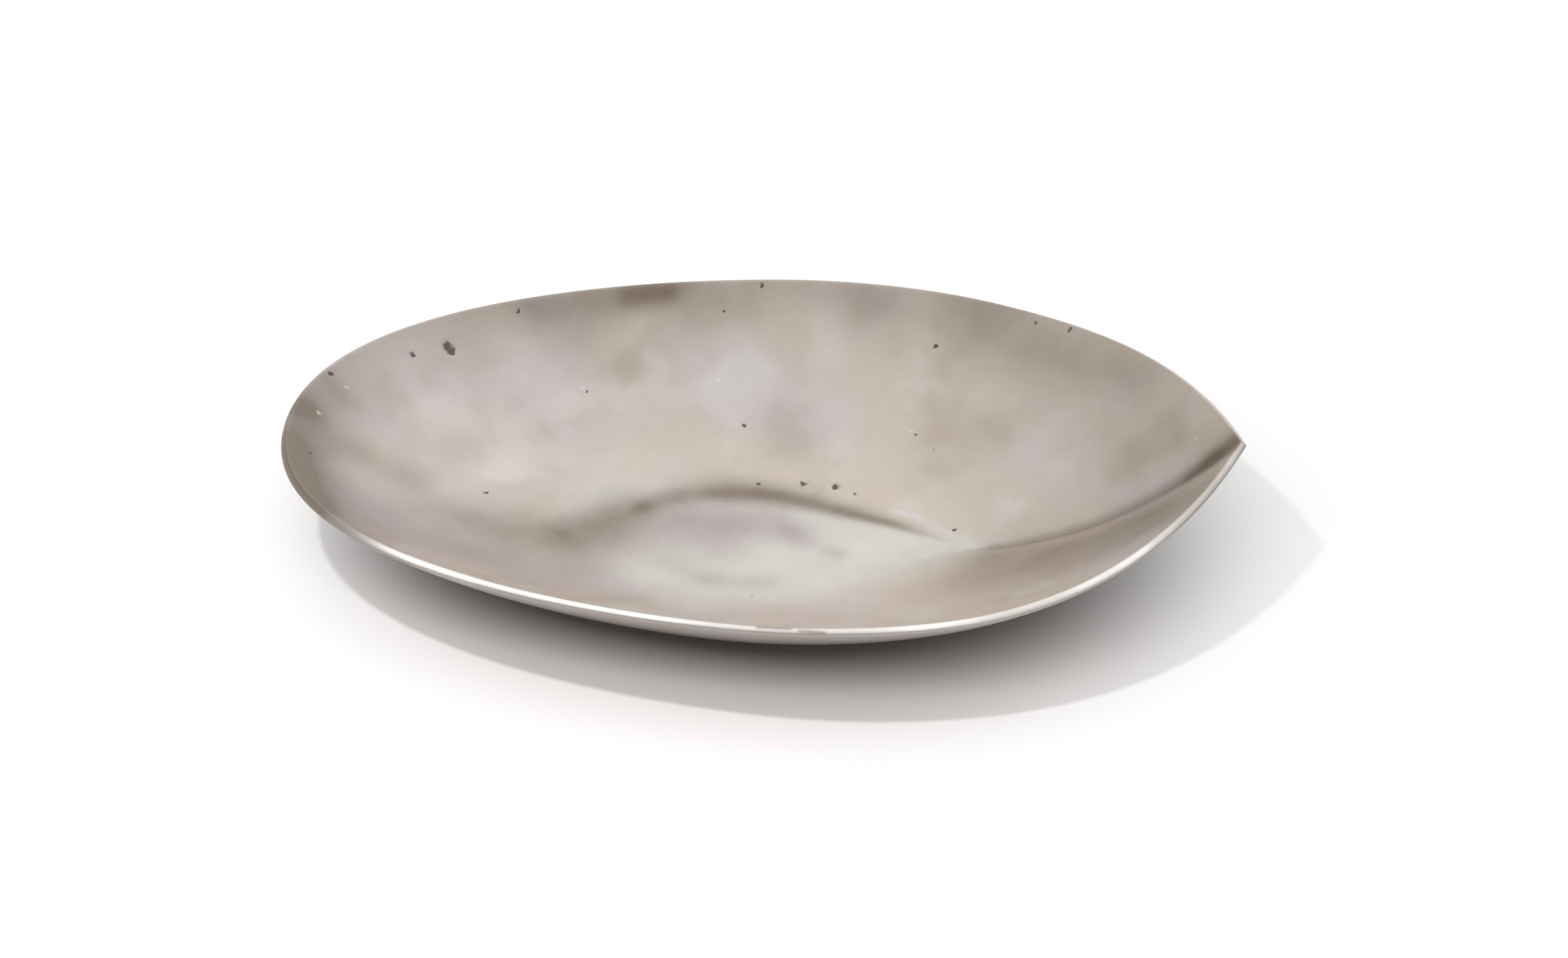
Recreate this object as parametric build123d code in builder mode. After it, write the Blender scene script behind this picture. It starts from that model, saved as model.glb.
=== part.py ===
"""Leaf-shaped offering bowl, cast in one piece of white metal.

The mouth is rounded at the heel and comes to a pouring point at the tip. Inside lies a small flat
leaf-shaped floor. From the floor's own point a keel crease climbs to the tip, and the walls sweep
up from the floor's edge to a level rim that lifts only over the last stretch before the point.

X runs from the heel to the tip, Y across, Z up. The origin is on the table, under the middle of the
bowl's length.
"""
import os
from math import atan2, cos, hypot, radians, sin

from build123d import *

# Mouth: the inner edge of the rim, seen from above
mouth_length = 220.0
mouth_width = 144.0
mouth_widest_x = 8.0
mouth_tip_angle = 71.0

# Rim heights above the table
rim_height = 29.0
tip_height = 36.4
lift_start_x = 49.0

# Floor: the flat leaf that the bowl stands on
floor_length = 92.0
floor_width = 40.0
floor_tip_x = 49.7
floor_widest_x = -4.0
floor_tip_angle = 25.0

# Metal: the outer skin is the inner skin lowered by this much, so the steep wall is thinner
floor_thickness = 2.8

# Rim: filed square to the wall, with its two edges eased by small flats
rim_ease = 0.4
rim_ease_limit = 0.25

# How a wall leaves the floor: 0 is flush with it, 1 is a straight slope up to the rim
heel_kick = 0.15
side_kick = 0.3
keel_kick = 0.15

# Where a wall bends upwards, as a share of the way out to the rim: past half way it turns up late
heel_knee = 0.5
side_knee = 0.62
keel_knee = 0.5

# How full the outlines' curves are, as shares of each curve's own run
mouth_heel_fullness = 0.835
mouth_flank_fullness = 0.2
mouth_shoulder_fullness = 0.61
floor_heel_fullness = 0.5
floor_flank_fullness = 0.4
floor_shoulder_fullness = 0.25
tip_fullness = 0.325

# The wall is drawn as ribs: so many to each curve of the outline, each rooted in the floor
ribs_per_curve = 7
ribs_past_heel = 2
rib_root = 3.0

mouth_heel_x = -mouth_length / 2
mouth_tip_x = mouth_length / 2
floor_heel_x = floor_tip_x - floor_length
lift_reach = mouth_tip_x - lift_start_x


def leaf(heel_x, tip_x, widest_x, width, tip_angle, heel_fullness, flank_fullness, shoulder_fullness):
    """Control points of half a leaf's outline: the flank from heel to widest, the bow on to the tip."""
    half_width = width / 2
    flank_run = widest_x - heel_x
    bow_run = tip_x - widest_x
    tip_handle = tip_fullness * hypot(bow_run, half_width)
    angle = radians(tip_angle)
    flank = (
        (heel_x, 0),
        (heel_x, heel_fullness * half_width),
        (widest_x - flank_fullness * flank_run, half_width),
        (widest_x, half_width),
    )
    bow = (
        (widest_x, half_width),
        (widest_x + shoulder_fullness * bow_run, half_width),
        (tip_x - tip_handle * cos(angle), tip_handle * sin(angle)),
        (tip_x, 0),
    )
    return flank, bow


def along(curve, share, side):
    """The point at a share of the way along a cubic curve of four control points, on the +Y or -Y side."""
    rest = 1 - share
    weights = (rest**3, 3 * rest**2 * share, 3 * rest * share**2, share**3)
    x = sum(weight * point[0] for weight, point in zip(weights, curve))
    y = sum(weight * point[1] for weight, point in zip(weights, curve))
    return Vector(x, side * y)


def rim_height_at(x):
    """Rim height over a place on the long axis: level, then a parabola up to the tip."""
    lift_share = max(0, x - lift_start_x) / lift_reach
    return rim_height + (tip_height - rim_height) * lift_share**2


def wall(foot, bend, lip, top):
    """Control points of a wall's parabola from its foot, up to a share of the way along its curve."""
    return foot, foot + bend * top, foot + bend * (2 * top * (1 - top)) + lip * top**2


floor_outline = leaf(
    floor_heel_x,
    floor_tip_x,
    floor_widest_x,
    floor_width,
    floor_tip_angle,
    floor_heel_fullness,
    floor_flank_fullness,
    floor_shoulder_fullness,
)
mouth_outline = leaf(
    mouth_heel_x,
    mouth_tip_x,
    mouth_widest_x,
    mouth_width,
    mouth_tip_angle,
    mouth_heel_fullness,
    mouth_flank_fullness,
    mouth_shoulder_fullness,
)
kicks = ((heel_kick, side_kick), (side_kick, keel_kick))
knees = ((heel_knee, side_knee), (side_knee, keel_knee))


def rib(place):
    """Foot on the floor's edge, lip on the mouth's edge, kick and knee of one rib.

    Places count the ribs from the heel to the tip. A place before the heel is on the other side.
    """
    curve = min(abs(place) // ribs_per_curve, 1)
    share = abs(place) / ribs_per_curve - curve
    ease = share**2 * (3 - 2 * share)
    kick_from, kick_to = kicks[curve]
    knee_from, knee_to = knees[curve]
    kick = kick_from + (kick_to - kick_from) * ease
    knee = knee_from + (knee_to - knee_from) * ease
    side = -1 if place < 0 else 1
    foot = along(floor_outline[curve], share, side)
    lip = along(mouth_outline[curve], share, side)
    return foot, lip, kick, knee


ribs = [rib(place) for place in range(-ribs_past_heel, 2 * ribs_per_curve + 1)]

# One side wall is lofted through the ribs, from just past the heel to the tip. It is cut off at the
# heel and mirrored across the keel, and the floor fills the space between the ribs' roots.
with BuildPart() as bowl:
    for foot, lip, kick, knee in ribs:
        wall_lip = Vector((lip - foot).length, rim_height_at(lip.X) - floor_thickness)
        wall_bend = Vector(knee * wall_lip.X, knee * kick * wall_lip.Y)
        inner_foot = Vector(0, floor_thickness)
        outer_foot = Vector(0, 0)
        lip_way = (wall_lip - wall_bend) * 2
        slope = atan2(lip_way.Y, lip_way.X)
        rim_thickness = floor_thickness * cos(slope)
        ease = min(rim_ease, rim_ease_limit * rim_thickness)
        ease_share = ease / lip_way.length
        outer_share = 1 + rim_thickness * sin(slope) / lip_way.X
        inner_lip = inner_foot + wall_lip
        outer_lip = wall(outer_foot, wall_bend, wall_lip, outer_share)[-1]
        rim_way = (outer_lip - inner_lip).normalized()
        across = (lip - foot).rotate(Axis.Z, -90)
        with BuildSketch(Plane(foot, x_dir=lip - foot, z_dir=across)):
            with BuildLine():
                root_line = Line((-rib_root, 0), (0, 0))
                outer_wall = Bezier(*wall(outer_foot, wall_bend, wall_lip, outer_share - ease_share))
                inner_wall = Bezier(*wall(inner_foot, wall_bend, wall_lip, 1 - ease_share))
                Polyline(
                    outer_wall @ 1,
                    outer_lip - rim_way * ease,
                    inner_lip + rim_way * ease,
                    inner_wall @ 1,
                )
                floor_line = Line(inner_foot, (-rib_root, floor_thickness))
                Line(floor_line @ 1, root_line @ 0)
            make_face()
    loft()
    split(bisect_by=Plane.XZ, keep=Keep.BOTTOM)
    mirror(about=Plane.XZ)
    with BuildSketch():
        with BuildLine():
            roots = [foot + (foot - lip).normalized() * rib_root / 2 for foot, lip, kick, knee in ribs]
            Polyline(*roots[ribs_past_heel:])
            mirror(about=Plane.XZ)
        make_face()
    extrude(amount=floor_thickness)

bowl.part.label = "bowl"

os.makedirs("parts", exist_ok=True)
export_step(bowl.part, "parts/bowl.step")
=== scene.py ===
import math

import bpy
import numpy as np
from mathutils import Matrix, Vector


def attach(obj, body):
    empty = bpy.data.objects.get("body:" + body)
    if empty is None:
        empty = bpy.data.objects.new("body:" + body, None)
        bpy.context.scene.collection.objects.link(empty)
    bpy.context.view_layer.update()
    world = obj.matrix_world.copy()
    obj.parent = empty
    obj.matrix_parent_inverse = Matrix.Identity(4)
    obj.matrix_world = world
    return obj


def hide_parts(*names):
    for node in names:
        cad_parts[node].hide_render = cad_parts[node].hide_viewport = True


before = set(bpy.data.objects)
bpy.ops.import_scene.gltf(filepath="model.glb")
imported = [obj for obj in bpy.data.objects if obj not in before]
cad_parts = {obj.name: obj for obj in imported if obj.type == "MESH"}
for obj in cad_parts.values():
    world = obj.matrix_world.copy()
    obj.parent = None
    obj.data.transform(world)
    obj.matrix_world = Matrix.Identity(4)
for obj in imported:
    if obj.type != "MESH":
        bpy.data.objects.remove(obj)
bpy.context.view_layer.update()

bl_info = {
    "name": "Leaf Offering Bowl",
    "version": (1, 0, 0),
    "blender": (4, 5, 0),
    "location": "3D View > Sidebar > Offering Bowl",
    "description": "Dresses a cast leaf-shaped offering bowl and sets it on a white table",
    "category": "Add Mesh",
}

# How a wall leaves the floor: 0 is flush with it, 1 is a straight slope up to the rim
HEEL_KICK = 0.15
SIDE_KICK = 0.3
KEEL_KICK = 0.15

# Where a wall bends upwards, as a share of the way out to the rim: past half way it turns up late
HEEL_KNEE = 0.5
SIDE_KNEE = 0.62
KEEL_KNEE = 0.5

# How full the outlines' curves are, as shares of each curve's own run
MOUTH_HEEL_FULLNESS = 0.835
MOUTH_FLANK_FULLNESS = 0.2
MOUTH_SHOULDER_FULLNESS = 0.61
FLOOR_HEEL_FULLNESS = 0.5
FLOOR_FLANK_FULLNESS = 0.4
FLOOR_SHOULDER_FULLNESS = 0.25
TIP_FULLNESS = 0.325

# Mesh: columns round the bowl, and rows from the floor's middle over the rim to the underside's
COLUMNS = 600
FLOOR_ROWS = 22
INNER_ROWS = 96
RIM_ROWS = 12
OUTER_ROWS = 26
UNDER_ROWS = 4

# Photograph's frame, in pixels, and the width of the camera's sensor, in metres
PHOTO_WIDTH = 2464
PHOTO_HEIGHT = 1506
SENSOR_WIDTH = 0.036
# When a mark is placed by its pixel, this much further back counts as much as one pixel to the side
DEPTH_PER_PIXEL = 0.002

# Casting pits: where each shows in the photograph, in pixels, and how wide it is, in metres
PITS = {
    "heel_wall_large_high": ((700, 543), 0.0030),
    "heel_wall_large_low": ((707, 551), 0.0026),
    "heel_wall_small": ((648, 558), 0.0017),
    "heel_wall_high": ((811, 488), 0.0011),
    "heel_rim_high": ((519, 587), 0.0014),
    "heel_rim_low": ((490, 710), 0.0011),
    "heel_low": ((762, 773), 0.0010),
    "far_rim": ((1195, 448), 0.0013),
    "far_wall_high": ((1138, 488), 0.0011),
    "far_wall_right": ((1471, 545), 0.0013),
    "far_wall_middle": ((1170, 669), 0.0011),
    "far_foot_first": ((1193, 760), 0.0012),
    "far_foot_second": ((1263, 758), 0.0019),
    "far_foot_third": ((1313, 763), 0.0022),
    "far_foot_fourth": ((1342, 778), 0.0012),
    "floor_point": ((1501, 832), 0.0013),
    "right_wall_first": ((1440, 681), 0.0009),
    "right_wall_second": ((1467, 704), 0.0009),
    "far_rim_right_first": ((1628, 508), 0.0011),
    "far_rim_right_second": ((1682, 516), 0.0012),
    "far_wall_left": ((921, 616), 0.0009),
    "floor_near": ((1180, 935), 0.0009),
}
# Bright flecks, some of them painted glints beside pits, given the same way
FLECKS_AND_GLINTS = {
    "heel_rim_first": ((500, 649), 0.0014),
    "heel_rim_second": ((544, 605), 0.0011),
    "far_wall_left": ((916, 610), 0.0011),
    "far_wall_middle": ((1128, 596), 0.0012),
    "right_wall": ((1433, 676), 0.0011),
    "tip_wall": ((1878, 690), 0.0012),
}
# How deep a pit is, as a share of its width
PIT_DEPTH = 0.22
# Where the wall of a pit in the mesh lies, and the edge of its dark or bright spot in the metal, from the
# middle outwards, as shares of its width
PIT_WALL = (0.15, 0.65)
SPOT_EDGE = (0.30, 0.55)
# How far the spots' outlines are pushed about, in metres, and the scale and detail of the noise that does it
SPOT_PUSH = 0.0018
SPOT_PUSH_SCALE = 700.0
SPOT_PUSH_DETAIL = 1.0

# Patina and painted shade: the ends of each stroke in the photograph, in pixels, its width in metres and its
# amount
TARNISH_AND_SHADE = {
    "floor_heel_smudge": ((890, 838), (985, 806), 0.0088, 0.66),
    # Painted shade: carries the crease's dark band on towards the smudge
    "crease_shade_link": ((1015, 794), (1062, 782), 0.0034, 0.48),
    "floor_heel_film": ((780, 845), (960, 850), 0.0110, 0.32),
    "floor_heel_trail": ((750, 815), (790, 830), 0.0060, 0.30),
    "floor_near_arc_first": ((1050, 885), (1110, 911), 0.0040, 0.18),
    "floor_near_arc_second": ((1110, 911), (1200, 915), 0.0035, 0.18),
    "heel_wall_band_high": ((527, 694), (570, 712), 0.0055, 0.22),
    "heel_wall_band_low": ((570, 712), (650, 757), 0.0055, 0.24),
    "heel_wall_trail": ((640, 750), (730, 700), 0.0050, 0.16),
    # Painted shade at the heel end, over a smudge and a film
    "heel_rim_smudge_and_shade": ((452, 700), (476, 772), 0.0060, 0.90),
    "heel_end_film_and_shade": ((458, 640), (492, 780), 0.0100, 0.72),
    "heel_rim_mottle_first": ((470, 640), (488, 646), 0.0030, 0.45),
    "heel_rim_mottle_second": ((515, 596), (535, 622), 0.0034, 0.30),
    "heel_near_rim": ((490, 790), (640, 868), 0.0045, 0.40),
    "near_wall_olive": ((1580, 895), (1890, 775), 0.0160, 0.56),
    "near_keel_shade": ((1560, 872), (1825, 800), 0.0060, 0.24),
    "far_rim_right_shade": ((1560, 510), (1780, 595), 0.0090, 0.42),
    "far_rim_left_shade": ((850, 480), (1060, 449), 0.0055, 0.55),
    "middle_shade": ((1225, 650), (1235, 690), 0.0065, 0.26),
    "left_wall_shade": ((880, 535), (960, 550), 0.0080, 0.14),
    "far_rim_band": ((1338, 470), (1352, 500), 0.0040, 0.22),
    "tip_wall_film": ((1850, 700), (1905, 690), 0.0050, 0.12),
}
# Pale lavender patches, and painted reflections of the studio on the walls, given the same way
BLOOM_AND_SHEEN = {
    # Lavender patch with a painted reflection of the lamps
    "heel_wall_bloom_and_sheen": ((640, 590), (800, 610), 0.0140, 0.50),
    "heel_low_bloom": ((700, 745), (900, 735), 0.0120, 0.34),
    # Painted reflections of the studio on the far wall
    "middle_sheen": ((1080, 560), (1200, 610), 0.0100, 0.50),
    "far_sheen_streak": ((1292, 462), (1306, 560), 0.0035, 0.45),
    "crease_glint_first": ((1405, 806), (1440, 812), 0.0011, 0.80),
    "crease_glint_second": ((1440, 814), (1530, 858), 0.0009, 0.55),
    "near_wall_bloom": ((965, 918), (1340, 942), 0.0090, 0.72),
}
HAZE = {
    "floor_patch": ((1090, 812), (1215, 824), 0.0075, 0.76),
    "floor_heel": ((1030, 835), (1120, 858), 0.0090, 0.52),
    "floor_spot_first": ((1250, 838), (1262, 850), 0.0040, 0.50),
    "floor_spot_second": ((1306, 866), (1314, 870), 0.0026, 0.50),
    "heel_end_haze": ((456, 630), (492, 780), 0.0110, 0.90),
    "heel_low_haze": ((540, 760), (730, 815), 0.0130, 0.36),
    "near_heel_haze": ((620, 830), (900, 905), 0.0120, 0.64),
    "heel_wall_haze": ((560, 640), (640, 690), 0.0100, 0.24),
    "far_rim_haze": ((860, 500), (900, 520), 0.0070, 0.30),
}
# Painted highlight along the near rim, given the same way
RIM_HIGHLIGHT = {
    "near_heel_bright": ((640, 872), (980, 960), 0.0120, 1.00),
    "near_middle_pale": ((1040, 973), (1430, 985), 0.0120, 0.60),
    "near_tip_bright_first": ((1500, 978), (1760, 893), 0.0120, 0.66),
    "near_tip_bright_second": ((1760, 893), (1950, 700), 0.0120, 0.52),
}
RIM_NICKS = {
    "near_nick_first": ((1190, 985), (1240, 988), 0.0004, 0.80),
    "near_nick_second": ((1262, 992), (1296, 994), 0.0004, 0.80),
}
# Brown stains, and painted shade where the keel's crease runs to the tip, given the same way
STAIN_AND_SHADE = {
    "far_rim_brown": ((992, 464), (1050, 459), 0.0032, 0.66),
    "far_rim_patch": ((1370, 470), (1385, 472), 0.0050, 0.28),
    "tip_brown_and_shade": ((1905, 726), (1938, 700), 0.0042, 0.78),
    "tip_brown_and_shade_middle": ((1872, 750), (1905, 726), 0.0030, 0.48),
    "tip_brown_and_shade_tail": ((1830, 775), (1872, 750), 0.0022, 0.26),
}

# Painted shade along the keel's crease, a dark line from the floor's point to the tip: half its width at
# either end, and the share of its length over which it fades in
KEEL_SHADE_START = 0.0012
KEEL_SHADE_END = 0.0030
KEEL_SHADE_FADE = 1 / 12
# The far edge of the floor: how far off the keel it counts in full, and the places along X over which it
# starts, past the heel
FAR_EDGE_DEPTH = 0.010
FAR_EDGE_START = (-0.034, -0.010)
# The floor's point: the places along X over which it starts, from its tip
POINT_START = (-0.030, -0.010)
# Painted shade: the dark band along the far edge of the floor, where the bend between floor and wall falls
# dark: its middle, and half its width at the heel and at the tip
CREASE_SHADE_MIDDLE = -0.0022
CREASE_SHADE_HEEL_WIDTH = 0.0062
CREASE_SHADE_TIP_WIDTH = 0.0025
# Where the floor's lighter polish and painted sheen end, and how softly: at the crease on the far side, up
# the wall on the near side
POLISH_AND_SHEEN_FAR_END = -0.0035
POLISH_AND_SHEEN_FAR_SOFTNESS = 0.0045
POLISH_AND_SHEEN_NEAR_END = 0.0080
POLISH_AND_SHEEN_NEAR_SOFTNESS = 0.0130
# Film and painted shade along the lip on the far side and at the heel, where the wall's top reflects the dim
# front: the share of the wall where it starts, at the heel and at the tip, and how far along X from the
# middle the one has become the other
LIP_FILM_AND_SHADE_HEEL_START = 0.74
LIP_FILM_AND_SHADE_TIP_START = 0.45
LIP_FILM_AND_SHADE_TURN = 0.060
# The film and shade start between these places along Y, and run out before the tip between these along X
LIP_FILM_AND_SHADE_NEAR_FADE = (-0.042, 0.018)
LIP_FILM_AND_SHADE_TIP_FADE = (0.065, 0.105)
# Shares of the way over the rim: where the inside's finish runs out, and where the painted highlight on the
# filed edge starts and runs out
INSIDE_FADE = (0.30, 0.80)
RIM_RISE = (0.150, 0.400)
RIM_FALL = (0.525, 0.775)
# A point with more than this much of the filed edge's painted highlight counts as one on the rim
ON_RIM = 0.5
# Shares of the way down the outside and under: where the lip's film and shade and the strokes of patina and
# shade have run out, and where the painted shade underneath is darkest
LIP_FILM_AND_SHADE_END = 1 / 6
STROKE_REACH_END = 1 / 12
UNDER_SHADE_FROM = 0.25

# Half the width over which the bend between floor and wall is eased, on the near side and on the far
NEAR_EASE = 0.0090
FAR_EASE = 0.0020

# Unevenness left by working the casting, in three crossing waves: the wave lengths along X and Y, the
# phase and the depth of each
WORK_WAVES = (
    ((0.031, 0.047), 0.4, 0.00008),
    ((0.022, -0.036), 1.9, 0.00006),
    ((-0.052, 0.019), 3.1, 0.00007),
)
# It is full at this share of the way out over the floor, and runs out between these up the wall
WORK_FULL = 1 / 3
WORK_FADE = (7 / 8, 1.0)

# The value that noise lies around, for each part of a vector
NOISE_MIDDLE = (0.5, 0.5, 0.5)
# Noise in the metal: the size of its clouds in metres, its seed, its detail and its roughness
NOISES = {
    "broad": (0.045, 0.0, 4.0, 0.6),
    "patches": (0.016, 1.0, 4.0, 0.6),
    "grain": (0.0035, 2.0, 4.0, 0.6),
    "olive": (0.030, 3.0, 2.5, 0.5),
    "lavender": (0.024, 4.0, 2.5, 0.5),
    "pale": (0.018, 5.0, 2.5, 0.5),
    "rim": (0.006, 6.0, 2.0, 0.6),
}
# Clouds of other colours: the noise at which a cloud starts and at which it is full, and its amount
CLOUDS = {
    "olive": (0.48, 0.70, 0.75),
    "lavender": (0.48, 0.68, 0.80),
    "pale": (0.52, 0.70, 0.60),
}
# Films over the metal, in the order in which they lie: the mask, its colour in the finish and its amount
# Some are painted light: sheen on the floor, reflections on the walls, shade in the crease, along the keel,
# along the far lip and underneath, the near rim's highlight and glints among the flecks
FILMS = {
    "bloom_and_sheen": ("bloom_and_sheen", 1.0),
    "polish_and_sheen": ("polish_and_sheen", 0.85),
    "outside": ("outside", 0.80),
    "under": ("underside", 0.90),
    "lip_film_and_shade": ("tarnish_and_shade", 0.32),
    "haze": ("haze", 1.0),
    "tarnish_and_shade": ("tarnish_and_shade", 1.0),
    "crease_shade": ("tarnish_and_shade", 0.90),
    "keel": ("stain_and_shade", 0.50),
    "stain_and_shade": ("stain_and_shade", 1.0),
    "rim_highlight": ("rim", 1.0),
    "rim_nicks": ("stain_and_shade", 0.80),
    "flecks": ("fleck_and_glint", 0.55),
    "pits": ("pit", 0.90),
}
# Films that the noise makes ragged: the least of them that is left, and what each noise adds to it
RAGGED_FILMS = ("bloom_and_sheen", "lip_film_and_shade", "haze", "tarnish_and_shade", "crease_shade", "keel", "stain_and_shade")
RAGGED_LEAST = 0.4
RAGGED_BY_PATCHES = 0.7
RAGGED_BY_BROAD = 0.5
# The painted highlight on the filed rim and the brightness of the grain: the least, and what the noise adds
# to it
RIM_HIGHLIGHT_LEAST = 0.8
RIM_HIGHLIGHT_BY_NOISE = 0.4
GRAIN_LEAST = 0.94
GRAIN_BY_NOISE = 0.12
# Bump: its strength, the height of a whole step in metres, the steps of grain and patches, and a pit's depth
BUMP_STRENGTH = 0.5
BUMP_STEP = 0.0004
GRAIN_STEP = 0.05
PATCH_STEP = 0.3
PIT_STEP = 0.6
# Roughness of the satin metal, and what the patches, the pits and the cast outside add to it
SATIN_ROUGHNESS = 0.34
PATCH_ROUGHNESS = 0.16
PIT_ROUGHNESS = 0.30
OUTSIDE_ROUGHNESS = 0.12
# How far the satin metal shines as bare metal does, and what the painted highlight on the filed rim and the
# pits take off it
SATIN_METALLIC = 0.78
RIM_HIGHLIGHT_METALLIC_LOSS = 0.66
PIT_METALLIC_LOSS = 0.40

# Soft lights of the studio: the way to each, and the degrees off it at which it starts and is full
BACK_GLOW = ((0.15, 0.88, 0.42), 48, 10)
TOP_GLOW = ((0, 0, 1), 45, 12)
LEFT_GLOW = ((-0.92, -0.15, 0.36), 36, 12)
RIGHT_GLOW = ((0.92, -0.15, 0.36), 36, 12)
LOW_GLOW = ((0, 1, 0), 110, 60)
# Heights above the horizon, in degrees: where the low sky becomes the high one, and where the plain white
# that the camera sees behind the table starts
HIGH_SKY = (25, 50)
WHITE_HORIZON = (9, 4)

# The colour's place among the outputs of a Mix node, which all have the same name
MIX_COLOUR_OUTPUT = 2
# A camera's lens and sensor are set in millimetres
MILLIMETRES_PER_METRE = 1000


def setting(name, description, default, **kind):
    """A number that a user can change, or as many numbers as its default holds."""
    if isinstance(default, tuple):
        return bpy.props.FloatVectorProperty(
            name=name, description=description, default=default, size=len(default), **kind
        )
    return bpy.props.FloatProperty(name=name, description=description, default=default, **kind)


def colour_setting(name, description, default):
    """A colour that a user can change."""
    return setting(name, description, default, subtype="COLOR", min=0, max=1)


class OfferingBowlShape(bpy.types.PropertyGroup):
    """Sizes of the bowl"""

    mouth_length: setting("Mouth length", "Inner edge of the rim, heel to tip", 0.220, unit="LENGTH")
    mouth_width: setting("Mouth width", "Inner edge of the rim, side to side", 0.144, unit="LENGTH")
    mouth_widest: setting("Mouth widest at", "Place of the greatest width along X", 0.008, unit="LENGTH")
    mouth_tip_angle: setting(
        "Mouth tip angle", "Angle between rim and keel at the tip", math.radians(71), subtype="ANGLE"
    )
    rim_height: setting("Rim height", "Level stretch of the rim above the table", 0.029, unit="LENGTH")
    tip_height: setting("Tip height", "Lifted point of the rim above the table", 0.0364, unit="LENGTH")
    lift_start: setting("Lift at", "Place along X where the rim leaves its level", 0.049, unit="LENGTH")
    floor_length: setting("Floor length", "Flat leaf to stand on, heel to tip", 0.092, unit="LENGTH")
    floor_width: setting("Floor width", "Flat leaf to stand on, side to side", 0.040, unit="LENGTH")
    floor_tip: setting("Floor tip at", "Place of the floor's point along X", 0.0497, unit="LENGTH")
    floor_widest: setting("Floor widest at", "Place of the greatest width along X", -0.004, unit="LENGTH")
    floor_tip_angle: setting(
        "Floor tip angle", "Angle between edge and keel at the point", math.radians(25), subtype="ANGLE"
    )
    thickness: setting("Floor thickness", "Upright thickness of the metal", 0.0028, unit="LENGTH")
    rim_round: setting("Rim rounding", "How far the rim's edges are worn round", 0.0008, unit="LENGTH")


class OfferingBowlFinish(bpy.types.PropertyGroup):
    """Colours of the bowl's metal"""

    metal: colour_setting("Metal", "Satin white metal", (0.71, 0.63, 0.55))
    olive: colour_setting("Olive metal", "Greener and duller clouds", (0.51, 0.44, 0.36))
    lavender: colour_setting("Lavender metal", "Cooler clouds", (0.72, 0.65, 0.645))
    pale: colour_setting("Pale metal", "Brighter clouds", (0.785, 0.75, 0.70))
    # Pale lavender patches, and painted reflections of the studio on the walls
    bloom_and_sheen: colour_setting("Bloom", "Pale lavender patches on the walls", (0.76, 0.71, 0.715))
    # Cleaner metal of the floor, with painted sheen where it reflects the bright studio
    polish_and_sheen: colour_setting("Polish", "Clean metal of the floor", (0.75, 0.73, 0.68))
    haze: colour_setting("Haze", "Lavender grey film", (0.50, 0.44, 0.44))
    # Olive grey film, also painted shade in the crease, along the far lip and at the heel
    tarnish_and_shade: colour_setting("Tarnish", "Olive grey film", (0.30, 0.25, 0.205))
    # Brown film, also painted shade along the keel and at the tip
    stain_and_shade: colour_setting("Stain", "Brown film", (0.20, 0.15, 0.11))
    outside: colour_setting("Outside", "Dull cast metal below the rim", (0.41, 0.375, 0.355))
    # Painted shade: near black underneath, so that the table under the bowl stays dark
    underside: colour_setting("Underside", "Dark cast metal underneath", (0.11, 0.085, 0.07))
    # Painted highlight on the near rim, in place of the lamps' glint
    rim: colour_setting("Rim", "Bright filed edge", (0.96, 0.95, 0.93))
    pit: colour_setting("Pits", "Bottom of the casting pits", (0.09, 0.075, 0.065))
    # Bright specks, some of them painted glints beside pits
    fleck_and_glint: colour_setting("Flecks", "Bright specks", (0.86, 0.82, 0.77))


class OfferingBowlStage(bpy.types.PropertyGroup):
    """Table, light and camera"""

    table: colour_setting("Table", "Colour of the table", (0.95, 0.95, 0.95))
    table_size: setting("Table size", "Side of the table", 20.0, unit="LENGTH")
    white_from: setting(
        "White from",
        "Distances from the bowl's middle between which the table runs out into white",
        (0.068, 0.185),
        unit="LENGTH",
    )
    sky_low: setting("Low sky", "Strength of the soft light from low at the back", 0.34)
    sky_high: setting("High sky", "Strength of the soft light from above", 0.61)
    back_glow: setting("Back glow", "Strength of the white wall behind the table", 0.55)
    top_glow: setting("Top glow", "Strength of the soft box overhead", 0.135)
    side_glow: setting("Side glow", "Strength of the soft boxes at either side", 0.45)
    key_power: setting("Key lamp", "Power of the lamp that casts the shadow", 1.8, unit="POWER")
    key_size: setting("Key lamp size", "Diameter of the lamp that casts the shadow", 0.04, unit="LENGTH")
    key_place: setting(
        "Key lamp place", "Where the key lamp hangs", (-0.26, -0.23, 0.70), subtype="TRANSLATION"
    )
    fill_power: setting("Fill lamp", "Power of the broad lamp in front", 8.4, unit="POWER")
    fill_size: setting(
        "Fill lamp size", "Width and height of the broad lamp in front", (1.7, 0.5), unit="LENGTH"
    )
    fill_place: setting(
        "Fill lamp place", "Where the fill lamp hangs", (-0.12, -0.86, 1.0), subtype="TRANSLATION"
    )
    fill_colour: colour_setting("Fill lamp colour", "Warm colour of the broad lamp", (1.0, 0.95, 0.93))
    camera_place: setting(
        "Camera place", "Where the camera stands", (0.1054, -1.1065, 0.7689), subtype="TRANSLATION"
    )
    camera_target: setting(
        "Camera target", "What the camera looks at", (0.00264, 0.02876, 0.0), subtype="TRANSLATION"
    )
    focal_length: setting("Focal length", "Length of the camera's lens", 0.1332, unit="LENGTH")


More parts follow.
